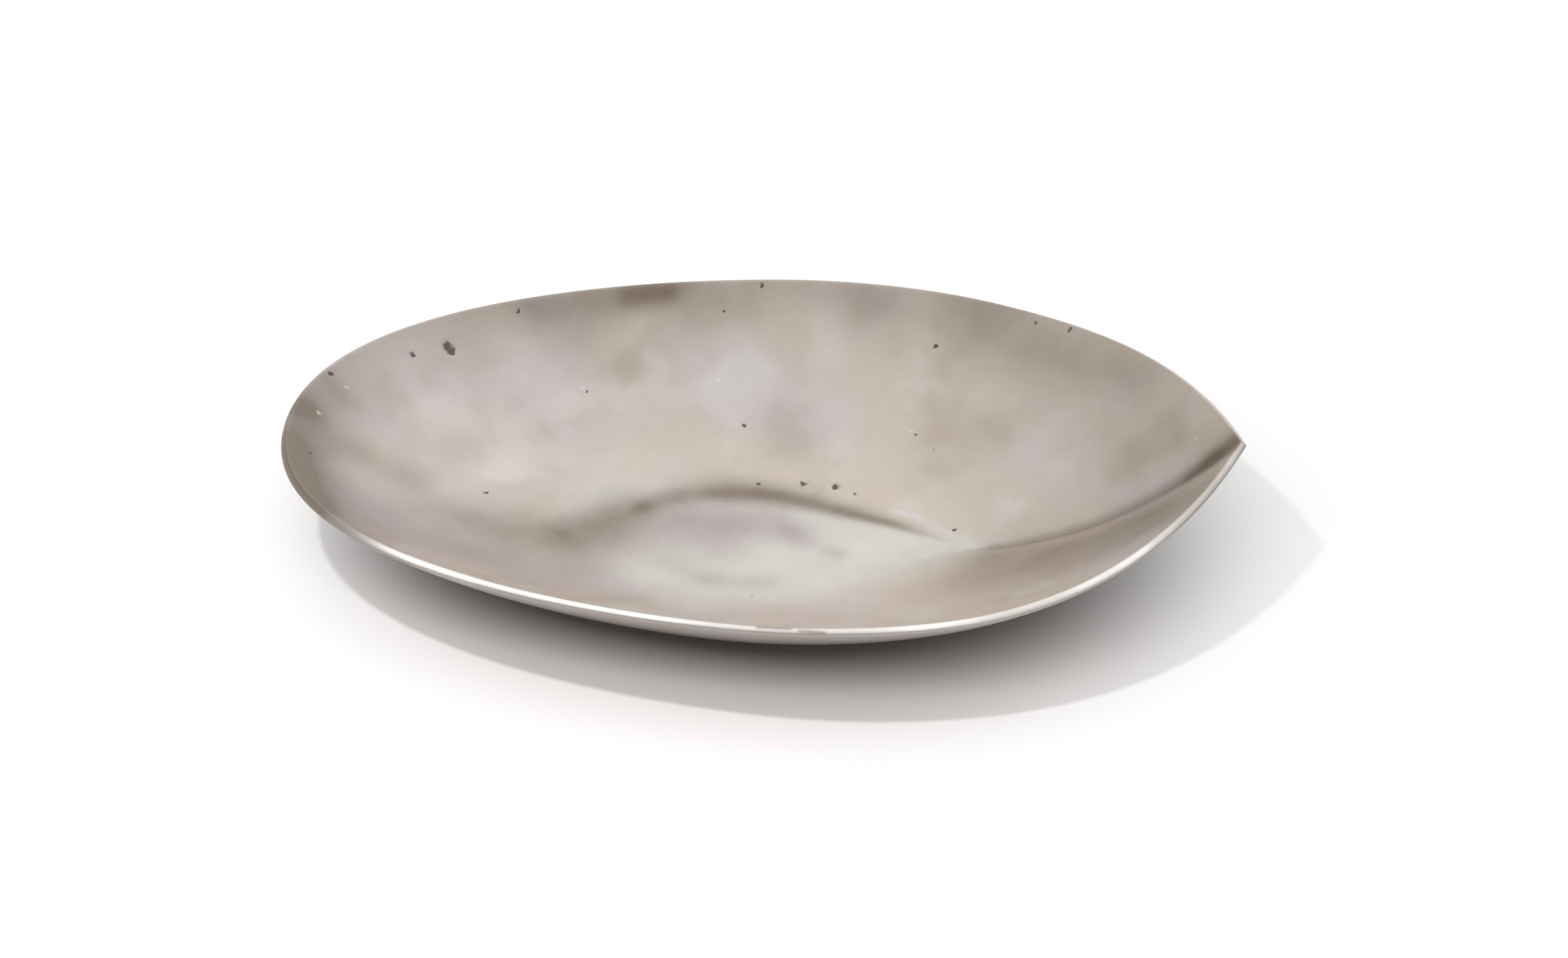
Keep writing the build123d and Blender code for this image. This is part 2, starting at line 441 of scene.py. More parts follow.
def half_leaf(heel_x, tip_x, widest_x, width, tip_angle, heel_fullness, flank_fullness, shoulder_fullness):
    """Control points of half a leaf's outline: the flank from heel to widest, the bow on to the tip."""
    half_width = width / 2
    flank_run = widest_x - heel_x
    bow_run = tip_x - widest_x
    tip_handle = TIP_FULLNESS * math.hypot(bow_run, half_width)
    flank = (
        (heel_x, 0),
        (heel_x, heel_fullness * half_width),
        (widest_x - flank_fullness * flank_run, half_width),
        (widest_x, half_width),
    )
    bow = (
        (widest_x, half_width),
        (widest_x + shoulder_fullness * bow_run, half_width),
        (tip_x - tip_handle * math.cos(tip_angle), tip_handle * math.sin(tip_angle)),
        (tip_x, 0),
    )
    return np.array(flank), np.array(bow)


def along(curve, share):
    """Points at shares of the way along a cubic curve, whose four control points are weighed."""
    rest = 1 - share
    weights = np.stack((rest**3, 3 * rest**2 * share, 3 * rest * share**2, share**3), axis=-1)
    return weights @ curve


def smooth_step(value):
    """0 below 0, 1 above 1 and 3 v^2 - 2 v^3 between."""
    value = np.clip(value, 0, 1)
    return value**2 * (3 - 2 * value)


def ramp(value, start, end):
    """0 up to start, 1 from end on and smooth between."""
    return smooth_step((value - start) / (end - start))


def mixed(start, end, share):
    """The value at a share of the way from start to end."""
    return start + (end - start) * share


class Ribs:
    """The bowl's ribs, one to a column of the mesh, from the heel along +Y to the tip and back along -Y.

    A rib runs straight out, seen from above, from its foot on the floor's edge to its lip on the mouth's.
    It is the parabola foot + 2 t (1 - t) bend + t^2 lip, whose bend lies the share knee of the way out
    and the share knee * kick of the way up.
    """

    def __init__(self, shape):
        turn = np.arange(COLUMNS) / COLUMNS * 2
        way = np.where(turn <= 1, turn, 2 - turn) * 2
        side = np.where(turn <= 1, 1.0, -1.0)
        on_bow = way > 1
        share = np.where(on_bow, way - 1, way)
        floor_curves = half_leaf(
            shape.floor_tip - shape.floor_length,
            shape.floor_tip,
            shape.floor_widest,
            shape.floor_width,
            shape.floor_tip_angle,
            FLOOR_HEEL_FULLNESS,
            FLOOR_FLANK_FULLNESS,
            FLOOR_SHOULDER_FULLNESS,
        )
        mouth_curves = half_leaf(
            -shape.mouth_length / 2,
            shape.mouth_length / 2,
            shape.mouth_widest,
            shape.mouth_width,
            shape.mouth_tip_angle,
            MOUTH_HEEL_FULLNESS,
            MOUTH_FLANK_FULLNESS,
            MOUTH_SHOULDER_FULLNESS,
        )
        self.foot = self.outline(floor_curves, share, on_bow, side)
        self.lip = self.outline(mouth_curves, share, on_bow, side)
        ease = smooth_step(share)
        self.kick = np.where(on_bow, mixed(SIDE_KICK, KEEL_KICK, ease), mixed(HEEL_KICK, SIDE_KICK, ease))
        self.knee = np.where(on_bow, mixed(SIDE_KNEE, KEEL_KNEE, ease), mixed(HEEL_KNEE, SIDE_KNEE, ease))
        lift_reach = shape.mouth_length / 2 - shape.lift_start
        lift = np.clip(self.lip[:, 0] - shape.lift_start, 0, None) / lift_reach
        rim_height = shape.rim_height + (shape.tip_height - shape.rim_height) * lift**2
        self.thickness = shape.thickness
        self.climb = rim_height - shape.thickness
        self.way_out = self.lip - self.foot
        self.reach = np.hypot(self.way_out[:, 0], self.way_out[:, 1])
        self.lip_run = 2 * (1 - self.knee) * self.reach
        self.slope = np.arctan2(2 * (1 - self.knee * self.kick) * self.climb, self.lip_run)
        self.middle = np.array((self.foot[:, 0].mean(), 0.0))
        self.floor_reach = np.linalg.norm(self.foot - self.middle, axis=-1)
        self.far = ramp(self.foot[:, 1], 0, FAR_EDGE_DEPTH) * ramp(self.foot[:, 0], *FAR_EDGE_START)
        self.at_point = ramp(self.foot[:, 0] - shape.floor_tip, *POINT_START)

    @staticmethod
    def outline(curves, share, on_bow, side):
        """The leaf's outline at each column: the flank's curve or the bow's, on its own side."""
        flank, bow = curves
        points = np.where(on_bow[:, None], along(bow, share), along(flank, share))
        return points * np.stack((np.ones_like(side), side), axis=-1)

    def run(self, share):
        """How far out from its foot, seen from above, each rib has come at a share of its curve."""
        return self.reach * (2 * share * (1 - share) * self.knee + share**2)

    def skin(self, share, lowered):
        """Points of the inner skin at a share of each rib, or of the outer skin, which is lower."""
        plan = self.foot + self.way_out * (self.run(share) / self.reach)[..., None]
        height = self.climb * (2 * share * (1 - share) * self.knee * self.kick + share**2)
        return np.concatenate((plan, (height + self.thickness - lowered)[..., None]), axis=-1)

    def eased(self, run):
        """How far the inner skin is raised to ease the bend at the floor's edge.

        Within a width w of the edge the floor and a wall of slope s become s (run + w)^2 / (4 w).
        """
        width = mixed(NEAR_EASE, FAR_EASE, np.maximum(self.far, self.at_point))
        slope = self.kick * self.climb / self.reach
        raised = slope * ((run + width) ** 2 / (4 * width) - np.clip(run, 0, None))
        return np.where(np.abs(run) < width, raised, 0)


def rounded(start, corner, end, share):
    """Points of a rounded corner: the curve (1 - s)^2 start + 2 s (1 - s) corner + s^2 end."""
    share = share[:, None, None]
    return (1 - share) ** 2 * start + 2 * share * (1 - share) * corner + share**2 * end


def level(ribs, share, height):
    """Level rows at shares of the way from the floor's middle out to its edge."""
    plan = ribs.middle + (ribs.foot - ribs.middle) * share[..., None]
    return np.concatenate((plan, np.full((*plan.shape[:2], 1), height)), axis=-1)


def shell_rows(ribs, shape):
    """Rows of the bowl's closed skin, a point to every rib, and their run out from the floor's edge.

    They run from the floor's middle out to its edge, up the inner wall, over the rim, which is cut
    square to the wall and worn round at its two edges, down the outer wall and back in underneath.
    """
    floor_share = (np.arange(1, FLOOR_ROWS) / FLOOR_ROWS)[:, None]
    floor = level(ribs, floor_share, shape.thickness)
    rim_thickness = shape.thickness * np.cos(ribs.slope)
    round_share = shape.rim_round * np.cos(ribs.slope) / ribs.lip_run
    outer_share = 1 + rim_thickness * np.sin(ribs.slope) / ribs.lip_run
    inner_share = np.linspace(0, 1, INNER_ROWS)[:, None] * (1 - round_share)
    inner = ribs.skin(inner_share, 0.0)
    floor_run = (floor_share - 1) * ribs.floor_reach
    inner_run = ribs.run(inner_share)
    floor[..., 2] += ribs.eased(floor_run)
    inner[..., 2] += ribs.eased(inner_run)

    wall_share = np.linspace(1, 0, OUTER_ROWS)[:, None] * (outer_share - round_share)
    outer = ribs.skin(wall_share, shape.thickness)
    inner_lip = ribs.skin(np.ones(COLUMNS), 0.0)
    outer_lip = ribs.skin(outer_share, shape.thickness)
    rim_way = outer_lip - inner_lip
    rim_way /= np.linalg.norm(rim_way, axis=-1, keepdims=True)
    inner_edge = inner_lip + rim_way * shape.rim_round
    outer_edge = outer_lip - rim_way * shape.rim_round
    half = np.arange(1, RIM_ROWS // 2) / (RIM_ROWS // 2 - 1)
    inner_turn = rounded(inner[-1], inner_lip, inner_edge, half)
    outer_turn = rounded(outer_edge, outer_lip, outer[0], np.concatenate(([0.0], half[:-1])))
    under = level(ribs, (np.arange(UNDER_ROWS - 1, 0, -1) / UNDER_ROWS)[:, None], 0.0)

    rows = np.concatenate((floor, inner, inner_turn, outer_turn, outer, under))
    past_lip = np.broadcast_to(ribs.reach, (len(rows) - len(floor) - len(inner), COLUMNS))
    return rows, np.concatenate((floor_run, inner_run, past_lip))


def shell_faces(row_count):
    """Quads between neighbouring rows, closed round the bowl, and a fan at either pole.

    The poles are the two vertices after the rows: the floor's middle and the underside's.
    """
    column = np.arange(COLUMNS)
    following = np.roll(column, -1)
    start = (np.arange(row_count - 1) * COLUMNS)[:, None]
    quads = np.stack(
        (start + column, start + following, start + COLUMNS + following, start + COLUMNS + column), axis=-1
    ).reshape(-1, 4)
    top_pole = row_count * COLUMNS
    last = (row_count - 1) * COLUMNS
    top_fan = np.stack((np.full(COLUMNS, top_pole), following, column), axis=-1)
    under_fan = np.stack((np.full(COLUMNS, top_pole + 1), last + column, last + following), axis=-1)
    return quads.tolist() + top_fan.tolist() + under_fan.tolist()


class PhotoCamera:
    """The camera that sees the bowl as the photograph does, for placing marks by their pixels."""

    def __init__(self, stage):
        self.place = np.array(stage.camera_place)
        forward = np.array(stage.camera_target) - self.place
        self.forward = forward / np.linalg.norm(forward)
        right = np.cross(self.forward, (0, 0, 1))
        self.right = right / np.linalg.norm(right)
        self.up = np.cross(self.right, self.forward)
        self.focal = stage.focal_length / SENSOR_WIDTH * PHOTO_WIDTH

    def at(self, points, pixel):
        """The one of the points that shows at a pixel, and of those that hide each other the front one.

        A point's pixel is its share of the focal length from the photograph's middle. One pixel further
        off counts as much as DEPTH_PER_PIXEL further back.
        """
        ray = points - self.place
        depth = ray @ self.forward
        across = PHOTO_WIDTH / 2 + self.focal * (ray @ self.right) / depth - pixel[0]
        down = PHOTO_HEIGHT / 2 - self.focal * (ray @ self.up) / depth - pixel[1]
        return points[np.argmin(np.hypot(across, down) + depth / DEPTH_PER_PIXEL)]


def strokes(camera, places, points, marks):
    """How much of the named strokes each point has.

    A stroke joins the two places that show at its ends. Its amount falls off with the distance d
    from that line as exp(-(d / width)^2), and strokes that cross add up.
    """
    total = np.zeros(len(points))
    for start_pixel, end_pixel, width, amount in marks.values():
        start = camera.at(places, start_pixel)
        line = camera.at(places, end_pixel) - start
        share = np.clip((points - start) @ line / (line @ line), 0, 1)
        distance = np.linalg.norm(points - start - share[:, None] * line, axis=-1)
        total += amount * np.exp(-((distance / width) ** 2))
    return np.clip(total, 0, 1)


def worked(points):
    """Height of the unevenness: waves sin(2 pi (x / a + y / b) + phase) that cross each other."""
    height = np.zeros(len(points))
    for (along_x, along_y), phase, depth in WORK_WAVES:
        height += depth * np.sin(2 * math.pi * (points[:, 0] / along_x + points[:, 1] / along_y) + phase)
    return height


def pitted(points, pits):
    """Depth of the casting pits: each has a flat bottom and a wall that rises smoothly to its edge."""
    depth = np.zeros(len(points))
    for centre, width in pits:
        distance = np.linalg.norm(points - centre, axis=-1)
        depth = np.maximum(depth, PIT_DEPTH * width * (1 - ramp(distance / width, *PIT_WALL)))
    return depth


def row_places():
    """Share of the way through each stretch of rows, 0 before it and 1 after it.

    The stretches are the floor, the inner wall, the rim and the outside.
    """
    counts = (FLOOR_ROWS - 1, INNER_ROWS, RIM_ROWS - 2, OUTER_ROWS + UNDER_ROWS - 1)
    edges = np.cumsum((0, *counts))
    row = np.arange(edges[-1])
    return [np.clip((row - start + 1) / count, 0, 1) for start, count in zip(edges, counts)]


class Skin:
    """The bowl's closed skin: its rows, each with a point for every rib, and after them its two poles.

    The poles are the floor's middle and the underside's.
    """

    def __init__(self, ribs, shape):
        rows, run = shell_rows(ribs, shape)
        poles = ((*ribs.middle, shape.thickness), (*ribs.middle, 0.0))
        self.row_count = len(rows)
        self.points = np.concatenate((rows.reshape(-1, 3), poles))
        self.run = np.concatenate((run.ravel(), (-ribs.floor_reach.min(), 0)))
        self.floor_way, self.wall_way, self.rim_way, self.outer_way = row_places()
        self.inside = self.spread(1 - ramp(self.rim_way, *INSIDE_FADE), at_top=1.0)
        self.rim = self.spread(ramp(self.rim_way, *RIM_RISE) * (1 - ramp(self.rim_way, *RIM_FALL)))

    def spread(self, by_row=1.0, by_column=1.0, at_top=0.0, at_bottom=0.0):
        """One value to a point: a value to its row times one to its column, and the poles' own."""
        values = np.broadcast_to(np.asarray(by_row)[..., None] * by_column, (self.row_count, COLUMNS))
        return np.concatenate((values.ravel(), (at_top, at_bottom)))

    def spots(self, camera, marks):
        """Centre and width of each of the named spots."""
        return [(camera.at(self.points, pixel), width) for pixel, width in marks.values()]

    def dent(self, pits):
        """Press the unevenness of the working and the casting pits into the inside."""
        uneven = self.spread(ramp(self.floor_way, 0, WORK_FULL) * (1 - ramp(self.wall_way, *WORK_FADE)))
        self.points[:, 2] += (worked(self.points) * uneven - pitted(self.points, pits)) * self.inside


def form_masks(skin, ribs, shape):
    """Masks of what follows the bowl's form: the floor's polish with painted sheen, and painted shade in the
    crease, along the keel line, along the lip with its film and underneath.

    The crease and the keel's line fall off with the distance d from their middle as exp(-(d / width)^2).
    """
    # Lighter floor: cleaner metal with painted sheen, where the floor reflects the bright studio
    polish_and_sheen_end = skin.spread(by_column=mixed(POLISH_AND_SHEEN_NEAR_END, POLISH_AND_SHEEN_FAR_END, ribs.far))
    softness_to_rib = mixed(POLISH_AND_SHEEN_NEAR_SOFTNESS, POLISH_AND_SHEEN_FAR_SOFTNESS, ribs.far)
    softness = skin.spread(by_column=softness_to_rib, at_top=1.0, at_bottom=1.0)
    polish_and_sheen = ramp(polish_and_sheen_end - skin.run, -softness / 2, softness / 2)

    # Painted shade: the dark band along the far edge of the floor
    foot_x = ribs.foot[:, 0]
    crease_way = np.clip((foot_x - foot_x.min()) / shape.floor_length, 0, 1)
    width_to_rib = mixed(CREASE_SHADE_HEEL_WIDTH, CREASE_SHADE_TIP_WIDTH, crease_way)
    crease_shade_width = skin.spread(by_column=width_to_rib, at_top=1.0, at_bottom=1.0)
    crease_shade = np.exp(-(((skin.run - CREASE_SHADE_MIDDLE) / crease_shade_width) ** 2)) * skin.spread(by_column=ribs.far)

    # Painted shade along the keel's crease
    keel_length = shape.mouth_length / 2 - shape.floor_tip
    keel_way = np.clip((skin.points[:, 0] - shape.floor_tip) / keel_length, 0, 1)
    keel_shade_width = mixed(KEEL_SHADE_START, KEEL_SHADE_END, keel_way)
    keel = np.exp(-((skin.points[:, 1] / keel_shade_width) ** 2)) * ramp(keel_way, 0, KEEL_SHADE_FADE)

    # Film and painted shade along the far lip and at the heel, where the wall's top reflects the dim front
    lip_x, lip_y = ribs.lip.T
    far_lip = ramp(lip_y, *LIP_FILM_AND_SHADE_NEAR_FADE) * (1 - ramp(lip_x, *LIP_FILM_AND_SHADE_TIP_FADE))
    film_and_shade_start = mixed(LIP_FILM_AND_SHADE_HEEL_START, LIP_FILM_AND_SHADE_TIP_START, ramp(lip_x, 0, LIP_FILM_AND_SHADE_TURN))
    film = ramp(skin.wall_way[:, None], film_and_shade_start, 1) * far_lip
    return {
        "inside": skin.inside,
        "polish_and_sheen": polish_and_sheen * skin.inside,
        "crease_shade": crease_shade * skin.inside,
        "keel": keel * skin.inside,
        "lip_film_and_shade": skin.spread(1 - ramp(skin.outer_way, 0, LIP_FILM_AND_SHADE_END), film),
        # Painted shade: the outside darkens to near black towards the table
        "under": skin.spread(ramp(skin.outer_way, 0, UNDER_SHADE_FROM), at_bottom=1.0),
    }


def mark_masks(skin, camera):
    """Masks of the marks that are placed by their pixels, each kept to its part of the skin."""
    points = skin.points
    on_rim = points[skin.rim > ON_RIM]
    stroke_reach = skin.spread(1 - ramp(skin.outer_way, 0, STROKE_REACH_END), at_top=1.0)
    return {
        # Painted highlight along the near rim
        "rim_highlight": strokes(camera, on_rim, points, RIM_HIGHLIGHT) * skin.rim,
        "rim_nicks": strokes(camera, on_rim, points, RIM_NICKS),
        "tarnish_and_shade": strokes(camera, points, points, TARNISH_AND_SHADE) * stroke_reach,
        "bloom_and_sheen": strokes(camera, points, points, BLOOM_AND_SHEEN) * skin.inside,
        "haze": strokes(camera, points, points, HAZE) * skin.inside,
        "stain_and_shade": strokes(camera, points, points, STAIN_AND_SHADE) * stroke_reach,
    }


class OFFERING_BOWL_OT_shell(bpy.types.Operator):
    """Make the bowl's shell and give it its metal"""

    bl_idname = "offering_bowl.shell"
    bl_label = "Make Bowl Shell"

    def execute(self, context):
        scene = context.scene
        shape = scene.offering_bowl_shape
        camera = PhotoCamera(scene.offering_bowl_stage)
        ribs = Ribs(shape)
        skin = Skin(ribs, shape)
        pits = skin.spots(camera, PITS)
        flecks = skin.spots(camera, FLECKS_AND_GLINTS)
        masks = {**form_masks(skin, ribs, shape), **mark_masks(skin, camera)}
        skin.dent(pits)

        mesh = bpy.data.meshes.new("bowl_shell")
        mesh.from_pydata(skin.points.tolist(), [], shell_faces(skin.row_count))
        if mesh.validate():
            raise RuntimeError("the bowl's shell has faces that Blender had to mend")
        mesh.shade_smooth()
        for name, values in masks.items():
            attribute = mesh.attributes.new(name, "FLOAT", "POINT")
            attribute.data.foreach_set("value", values.astype(np.float32))
        mesh.materials.append(bowl_metal(scene.offering_bowl_finish, pits, flecks))
        shell = bpy.data.objects.new("bowl_shell", mesh)
        scene.collection.objects.link(shell)
        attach(shell, "root")
        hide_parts("bowl")
        return {"FINISHED"}


class Wire:
    """A socket of a node tree. Python's operators on it add Math nodes."""

    def __init__(self, bench, socket):
        self.bench = bench
        self.socket = socket

    def __add__(self, other):
        return self.bench.math("ADD", self, other)

    def __radd__(self, other):
        return self.bench.math("ADD", other, self)

    def __sub__(self, other):
        return self.bench.math("SUBTRACT", self, other)

    def __rsub__(self, other):
        return self.bench.math("SUBTRACT", other, self)

    def __mul__(self, other):
        return self.bench.math("MULTIPLY", self, other)

    def __rmul__(self, other):
        return self.bench.math("MULTIPLY", other, self)


class Bench:
    """A material's or world's node tree, on which a finish is put together."""

    def __init__(self, tree):
        self.tree = tree

    def node(self, kind, settings=None, sockets=None, output=0):
        """Add a node, set it up, give its sockets values or wires, and return one of its outputs."""
        node = self.tree.nodes.new(kind)
        for name, value in (settings or {}).items():
            setattr(node, name, value)
        self.feed(node, sockets or {})
        return Wire(self, node.outputs[output])

    def feed(self, node, sockets):
        """Give a node's sockets, found by identifier, values or wires."""
        places = {socket.identifier: socket for socket in node.inputs}
        for name, value in sockets.items():
            if isinstance(value, Wire):
                self.tree.links.new(value.socket, places[name])
            else:
                places[name].default_value = value

    def math(self, operation, first, second):
        """A Math node on two values."""
        return self.node("ShaderNodeMath", {"operation": operation}, {"Value": first, "Value_001": second})

    def larger(self, first, second):
        """The larger of two values."""
        return self.math("MAXIMUM", first, second)

    def fade(self, value, start, end):
        """0 at start, 1 at end and smooth between."""
        return self.node(
            "ShaderNodeMapRange",
            {"interpolation_type": "SMOOTHSTEP"},
            {"Value": value, "From Min": start, "From Max": end},
        )

    def blend(self, factor, first, second, mode="MIX"):
        """A mix of two colours."""
        return self.node(
            "ShaderNodeMix",
            {"data_type": "RGBA", "blend_type": mode},
            {"Factor_Float": factor, "A_Color": first, "B_Color": second},
            MIX_COLOUR_OUTPUT,
        )

    def noise(self, place, size, seed, detail, roughness):
        """Cloudy noise around 0.5, with clouds of about the given size in metres."""
        return self.node(
            "ShaderNodeTexNoise",
            {"noise_dimensions": "4D"},
            {"Vector": place, "W": seed, "Scale": 1 / size, "Detail": detail, "Roughness": roughness},
        )

    def spots(self, place, spots):
        """1 in each of the spots, which have a centre and a width, and 0 outside them."""
        full, edge = SPOT_EDGE
        total = None
        for centre, width in spots:
            distance = self.vector("DISTANCE", place, tuple(centre), "Value")
            spot = self.fade(distance, edge * width, full * width)
            total = spot if total is None else self.larger(total, spot)
        return total

    def vector(self, operation, first, second, output="Vector"):
        """A Vector Math node on two vectors, which gives a vector or a value."""
        return self.node(
            "ShaderNodeVectorMath",
            {"operation": operation},
            {"Vector": first, "Vector_001": second},
            output,
        )

    def mask(self, name):
        """A mask that the mesh carries."""
        return self.node("ShaderNodeAttribute", {"attribute_name": name}, output="Fac")


def bowl_metal(finish, pits, flecks):
    """Satin white metal: clouded patina, stains, casting pits, painted sheen and reflections, painted shade
    in the creases, along the far lip and underneath, and a painted highlight on the filed rim.
    """
    material = bpy.data.materials.new("bowl_metal")
    material.use_nodes = True
    bench = Bench(material.node_tree)
    shader = material.node_tree.nodes["Principled BSDF"]
    place = bench.node("ShaderNodeTexCoord", output="Object")

    noise = {name: bench.noise(place, *values) for name, values in NOISES.items()}
    ragged = RAGGED_LEAST + RAGGED_BY_PATCHES * noise["patches"] + RAGGED_BY_BROAD * noise["broad"]
    inside = bench.mask("inside")
    # Painted highlight along the near rim, bright and less metallic
    rim = bench.mask("rim_highlight") * (RIM_HIGHLIGHT_LEAST + RIM_HIGHLIGHT_BY_NOISE * noise["rim"])
    pushed_place = pushed(bench, place)
    pit = bench.spots(pushed_place, pits)
    made_masks = {
        "outside": 1 - inside,
        "rim_highlight": rim,
        "flecks": bench.spots(pushed_place, flecks),
        "pits": pit,
    }

    colour = (*finish.metal, 1)
    for name, (start, full, amount) in CLOUDS.items():
        cloud = bench.fade(noise[name], start, full)
        colour = bench.blend(cloud * amount, colour, (*getattr(finish, name), 1))
    for name, (film_colour, amount) in FILMS.items():
        film = made_masks[name] if name in made_masks else bench.mask(name)
        if name in RAGGED_FILMS:
            film = film * ragged
        colour = bench.blend(film * amount, colour, (*getattr(finish, film_colour), 1))
    grain = GRAIN_LEAST + GRAIN_BY_NOISE * noise["grain"]
    grey = bench.node("ShaderNodeCombineColor", {}, {"Red": grain, "Green": grain, "Blue": grain})

    height = GRAIN_STEP * noise["grain"] + PATCH_STEP * noise["patches"] - PIT_STEP * pit
    roughness = SATIN_ROUGHNESS + PATCH_ROUGHNESS * noise["patches"] + PIT_ROUGHNESS * pit
    bench.feed(shader, {
        "Base Color": bench.blend(1.0, colour, grey, "MULTIPLY"),
        "Roughness": roughness + OUTSIDE_ROUGHNESS * (1 - inside),
        "Metallic": SATIN_METALLIC - RIM_HIGHLIGHT_METALLIC_LOSS * rim - PIT_METALLIC_LOSS * pit,
        "Normal": bench.node(
            "ShaderNodeBump", {}, {"Strength": BUMP_STRENGTH, "Distance": BUMP_STEP, "Height": height}
        ),
    })
    return material


def pushed(bench, place):
    """Places pushed about by fine noise, so that the spots at them get uneven outlines."""
    noise = bench.node(
        "ShaderNodeTexNoise",
        {},
        {"Vector": place, "Scale": SPOT_PUSH_SCALE, "Detail": SPOT_PUSH_DETAIL},
        "Color",
    )
    push = bench.vector("SUBTRACT", noise, NOISE_MIDDLE)
    return bench.vector("ADD", place, bench.vector("MULTIPLY", push, (SPOT_PUSH, SPOT_PUSH, SPOT_PUSH)))


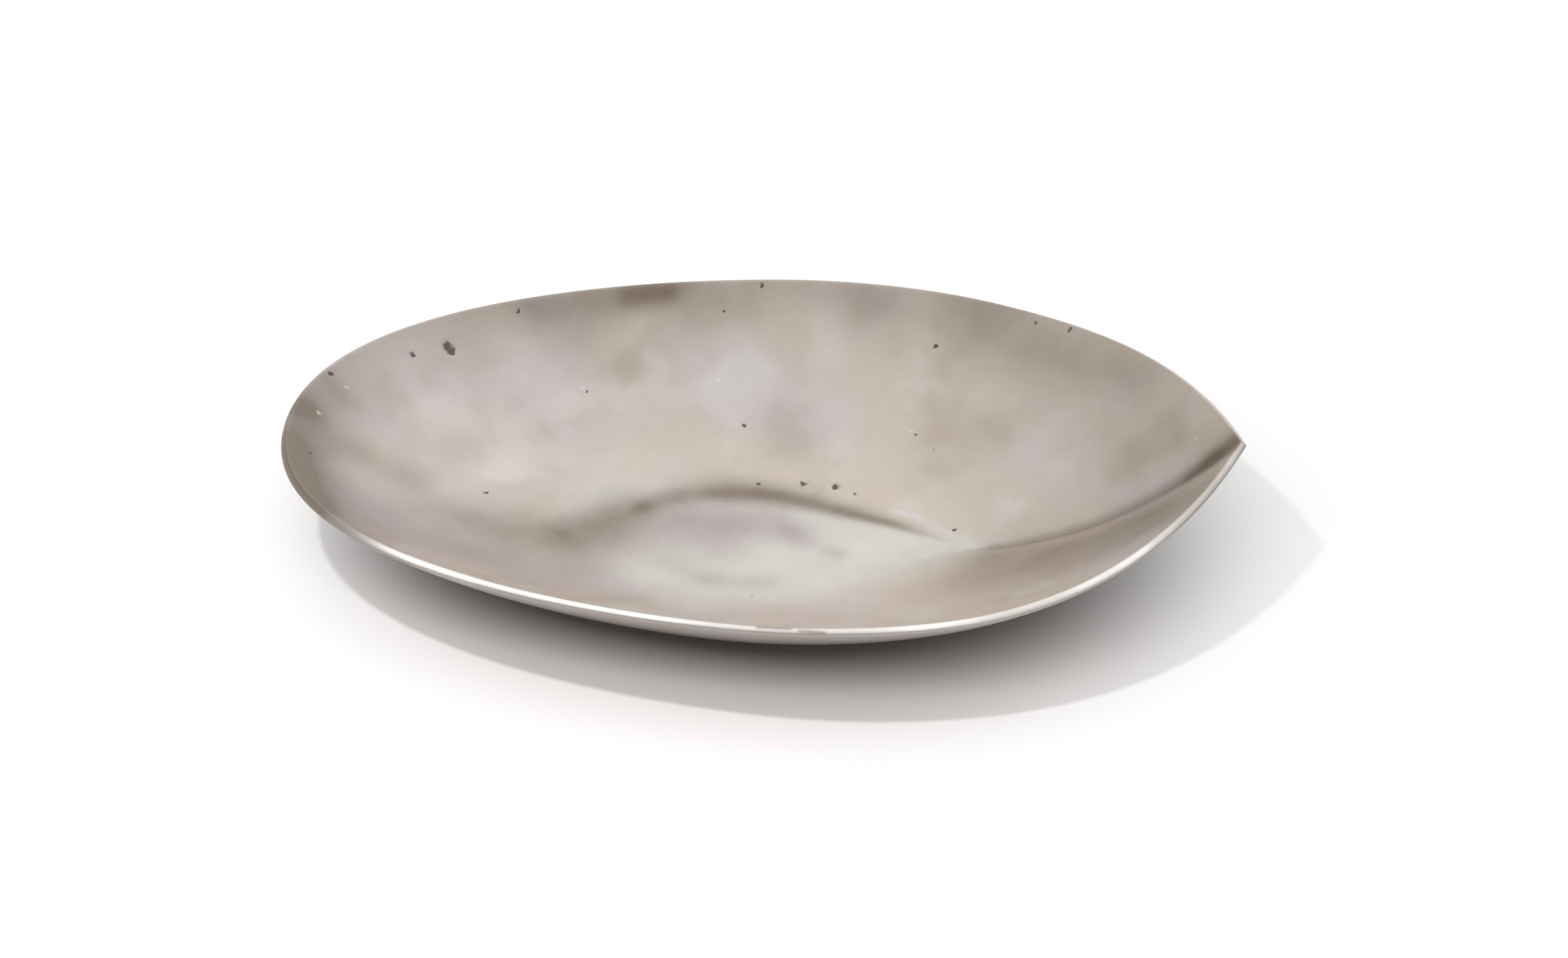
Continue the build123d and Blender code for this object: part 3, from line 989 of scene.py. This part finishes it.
class OFFERING_BOWL_OT_stage(bpy.types.Operator):
    """Set the table, the light and the camera"""

    bl_idname = "offering_bowl.stage"
    bl_label = "Set Stage"

    def execute(self, context):
        scene = context.scene
        stage = scene.offering_bowl_stage
        scene.view_settings.view_transform = "Standard"
        self.table(scene, stage)
        self.sky(scene, stage)
        self.lamp(scene, "key_lamp", stage.key_power, (stage.key_size, stage.key_size), stage.key_place)
        fill = self.lamp(scene, "fill_lamp", stage.fill_power, stage.fill_size, stage.fill_place)
        fill.color = stage.fill_colour
        self.camera(scene, stage)
        return {"FINISHED"}

    @staticmethod
    def table(scene, stage):
        """White table that runs out into plain white."""
        half = stage.table_size / 2
        mesh = bpy.data.meshes.new("table")
        corners = [(-half, -half, 0), (half, -half, 0), (half, half, 0), (-half, half, 0)]
        mesh.from_pydata(corners, [], [(0, 1, 2, 3)])
        table = bpy.data.objects.new("table", mesh)
        scene.collection.objects.link(table)
        material = bpy.data.materials.new("white_table")
        material.use_nodes = True
        bench = Bench(material.node_tree)
        shader = material.node_tree.nodes["Principled BSDF"]
        bench.feed(shader, {"Base Color": (*stage.table, 1), "Roughness": 1.0, "Specular IOR Level": 0.0})
        white = bench.node("ShaderNodeEmission", {}, {"Color": (1, 1, 1, 1), "Strength": 1.0})
        place = bench.node("ShaderNodeTexCoord", output="Object")
        # The white starts near enough to the bowl to lighten the ends of its shadow: painted light on the
        # table
        far_off = bench.fade(bench.vector("LENGTH", place, (0, 0, 0), "Value"), *stage.white_from)
        surface = bench.node("ShaderNodeMixShader", {}, {
            "Fac": shown_rays(bench) * far_off,
            "Shader": Wire(bench, shader.outputs[0]),
            "Shader_001": white,
        })
        bench.feed(material.node_tree.nodes["Material Output"], {"Surface": surface})
        mesh.materials.append(material)

    @staticmethod
    def sky(scene, stage):
        """Studio, dim low in front, with a white wall behind and soft boxes overhead and at the sides."""
        world = bpy.data.worlds.new("studio")
        scene.world = world
        world.use_nodes = True
        bench = Bench(world.node_tree)
        way = bench.node("ShaderNodeTexCoord", output="Generated")

        def climb(from_degrees, to_degrees):
            """From 0 at one height above the horizon to 1 at another."""
            up = bench.vector("DOT_PRODUCT", way, (0, 0, 1), "Value")
            return bench.fade(up, math.sin(math.radians(from_degrees)), math.sin(math.radians(to_degrees)))

        def glow(direction, widest, tightest):
            """From 0 at one angle off a direction to 1 at another."""
            towards = bench.vector("DOT_PRODUCT", way, Vector(direction).normalized(), "Value")
            return bench.fade(towards, math.cos(math.radians(widest)), math.cos(math.radians(tightest)))

        low = stage.sky_low * glow(*LOW_GLOW)
        sky = low + (stage.sky_high - low) * climb(*HIGH_SKY)
        light = sky + stage.back_glow * glow(*BACK_GLOW)
        light = light + stage.top_glow * glow(*TOP_GLOW)
        light = light + stage.side_glow * (glow(*LEFT_GLOW) + glow(*RIGHT_GLOW))
        strength = light + shown_rays(bench) * climb(*WHITE_HORIZON) * (1 - light)
        bench.feed(world.node_tree.nodes["Background"], {"Color": (1, 1, 1, 1), "Strength": strength})

    @staticmethod
    def lamp(scene, name, power, size, place):
        """Round or oval lamp that points at the bowl. Its own glint is kept out of the satin metal."""
        light = bpy.data.lights.new(name, "AREA")
        light.shape = "ELLIPSE"
        light.size, light.size_y = size
        light.energy = power
        lamp = bpy.data.objects.new(name, light)
        lamp.location = place
        lamp.rotation_mode = "QUATERNION"
        lamp.rotation_quaternion = (-Vector(place)).to_track_quat("-Z", "Y")
        lamp.visible_glossy = False
        scene.collection.objects.link(lamp)
        return light

    @staticmethod
    def camera(scene, stage):
        """Camera at the photograph's viewing angle."""
        lens = bpy.data.cameras.new("camera")
        lens.sensor_fit = "HORIZONTAL"
        lens.sensor_width = SENSOR_WIDTH * MILLIMETRES_PER_METRE
        lens.lens = stage.focal_length * MILLIMETRES_PER_METRE
        camera = bpy.data.objects.new("camera", lens)
        place = Vector(stage.camera_place)
        camera.location = place
        camera.rotation_mode = "QUATERNION"
        camera.rotation_quaternion = (Vector(stage.camera_target) - place).to_track_quat("-Z", "Y")
        scene.collection.objects.link(camera)
        scene.camera = camera


def shown_rays(bench):
    """1 for what the camera sees, also in metal or through glass, and 0 for light on the bowl."""
    camera, glossy, through = (
        bench.node("ShaderNodeLightPath", output=kind)
        for kind in ("Is Camera Ray", "Is Glossy Ray", "Is Transmission Ray")
    )
    return bench.larger(bench.larger(camera, glossy), through)


class OFFERING_BOWL_PT_sidebar(bpy.types.Panel):
    """Offering bowl and its stage"""

    bl_label = "Offering Bowl"
    bl_idname = "OFFERING_BOWL_PT_sidebar"
    bl_space_type = "VIEW_3D"
    bl_region_type = "UI"
    bl_category = "Offering Bowl"

    def draw(self, context):
        column = self.layout.column()
        column.operator(OFFERING_BOWL_OT_shell.bl_idname)
        column.operator(OFFERING_BOWL_OT_stage.bl_idname)
        for group_name, group in PROPERTY_GROUPS.items():
            for name in group.__annotations__:
                column.prop(getattr(context.scene, group_name), name)


PROPERTY_GROUPS = {
    "offering_bowl_shape": OfferingBowlShape,
    "offering_bowl_finish": OfferingBowlFinish,
    "offering_bowl_stage": OfferingBowlStage,
}
CLASSES = (
    *PROPERTY_GROUPS.values(),
    OFFERING_BOWL_OT_shell,
    OFFERING_BOWL_OT_stage,
    OFFERING_BOWL_PT_sidebar,
)


def register():
    for cls in CLASSES:
        bpy.utils.register_class(cls)
    for name, group in PROPERTY_GROUPS.items():
        setattr(bpy.types.Scene, name, bpy.props.PointerProperty(type=group))


def unregister():
    for name in PROPERTY_GROUPS:
        delattr(bpy.types.Scene, name)
    for cls in reversed(CLASSES):
        bpy.utils.unregister_class(cls)


def main():
    register()
    bpy.ops.offering_bowl.shell()
    bpy.ops.offering_bowl.stage()


if __name__ == "__main__":
    main()
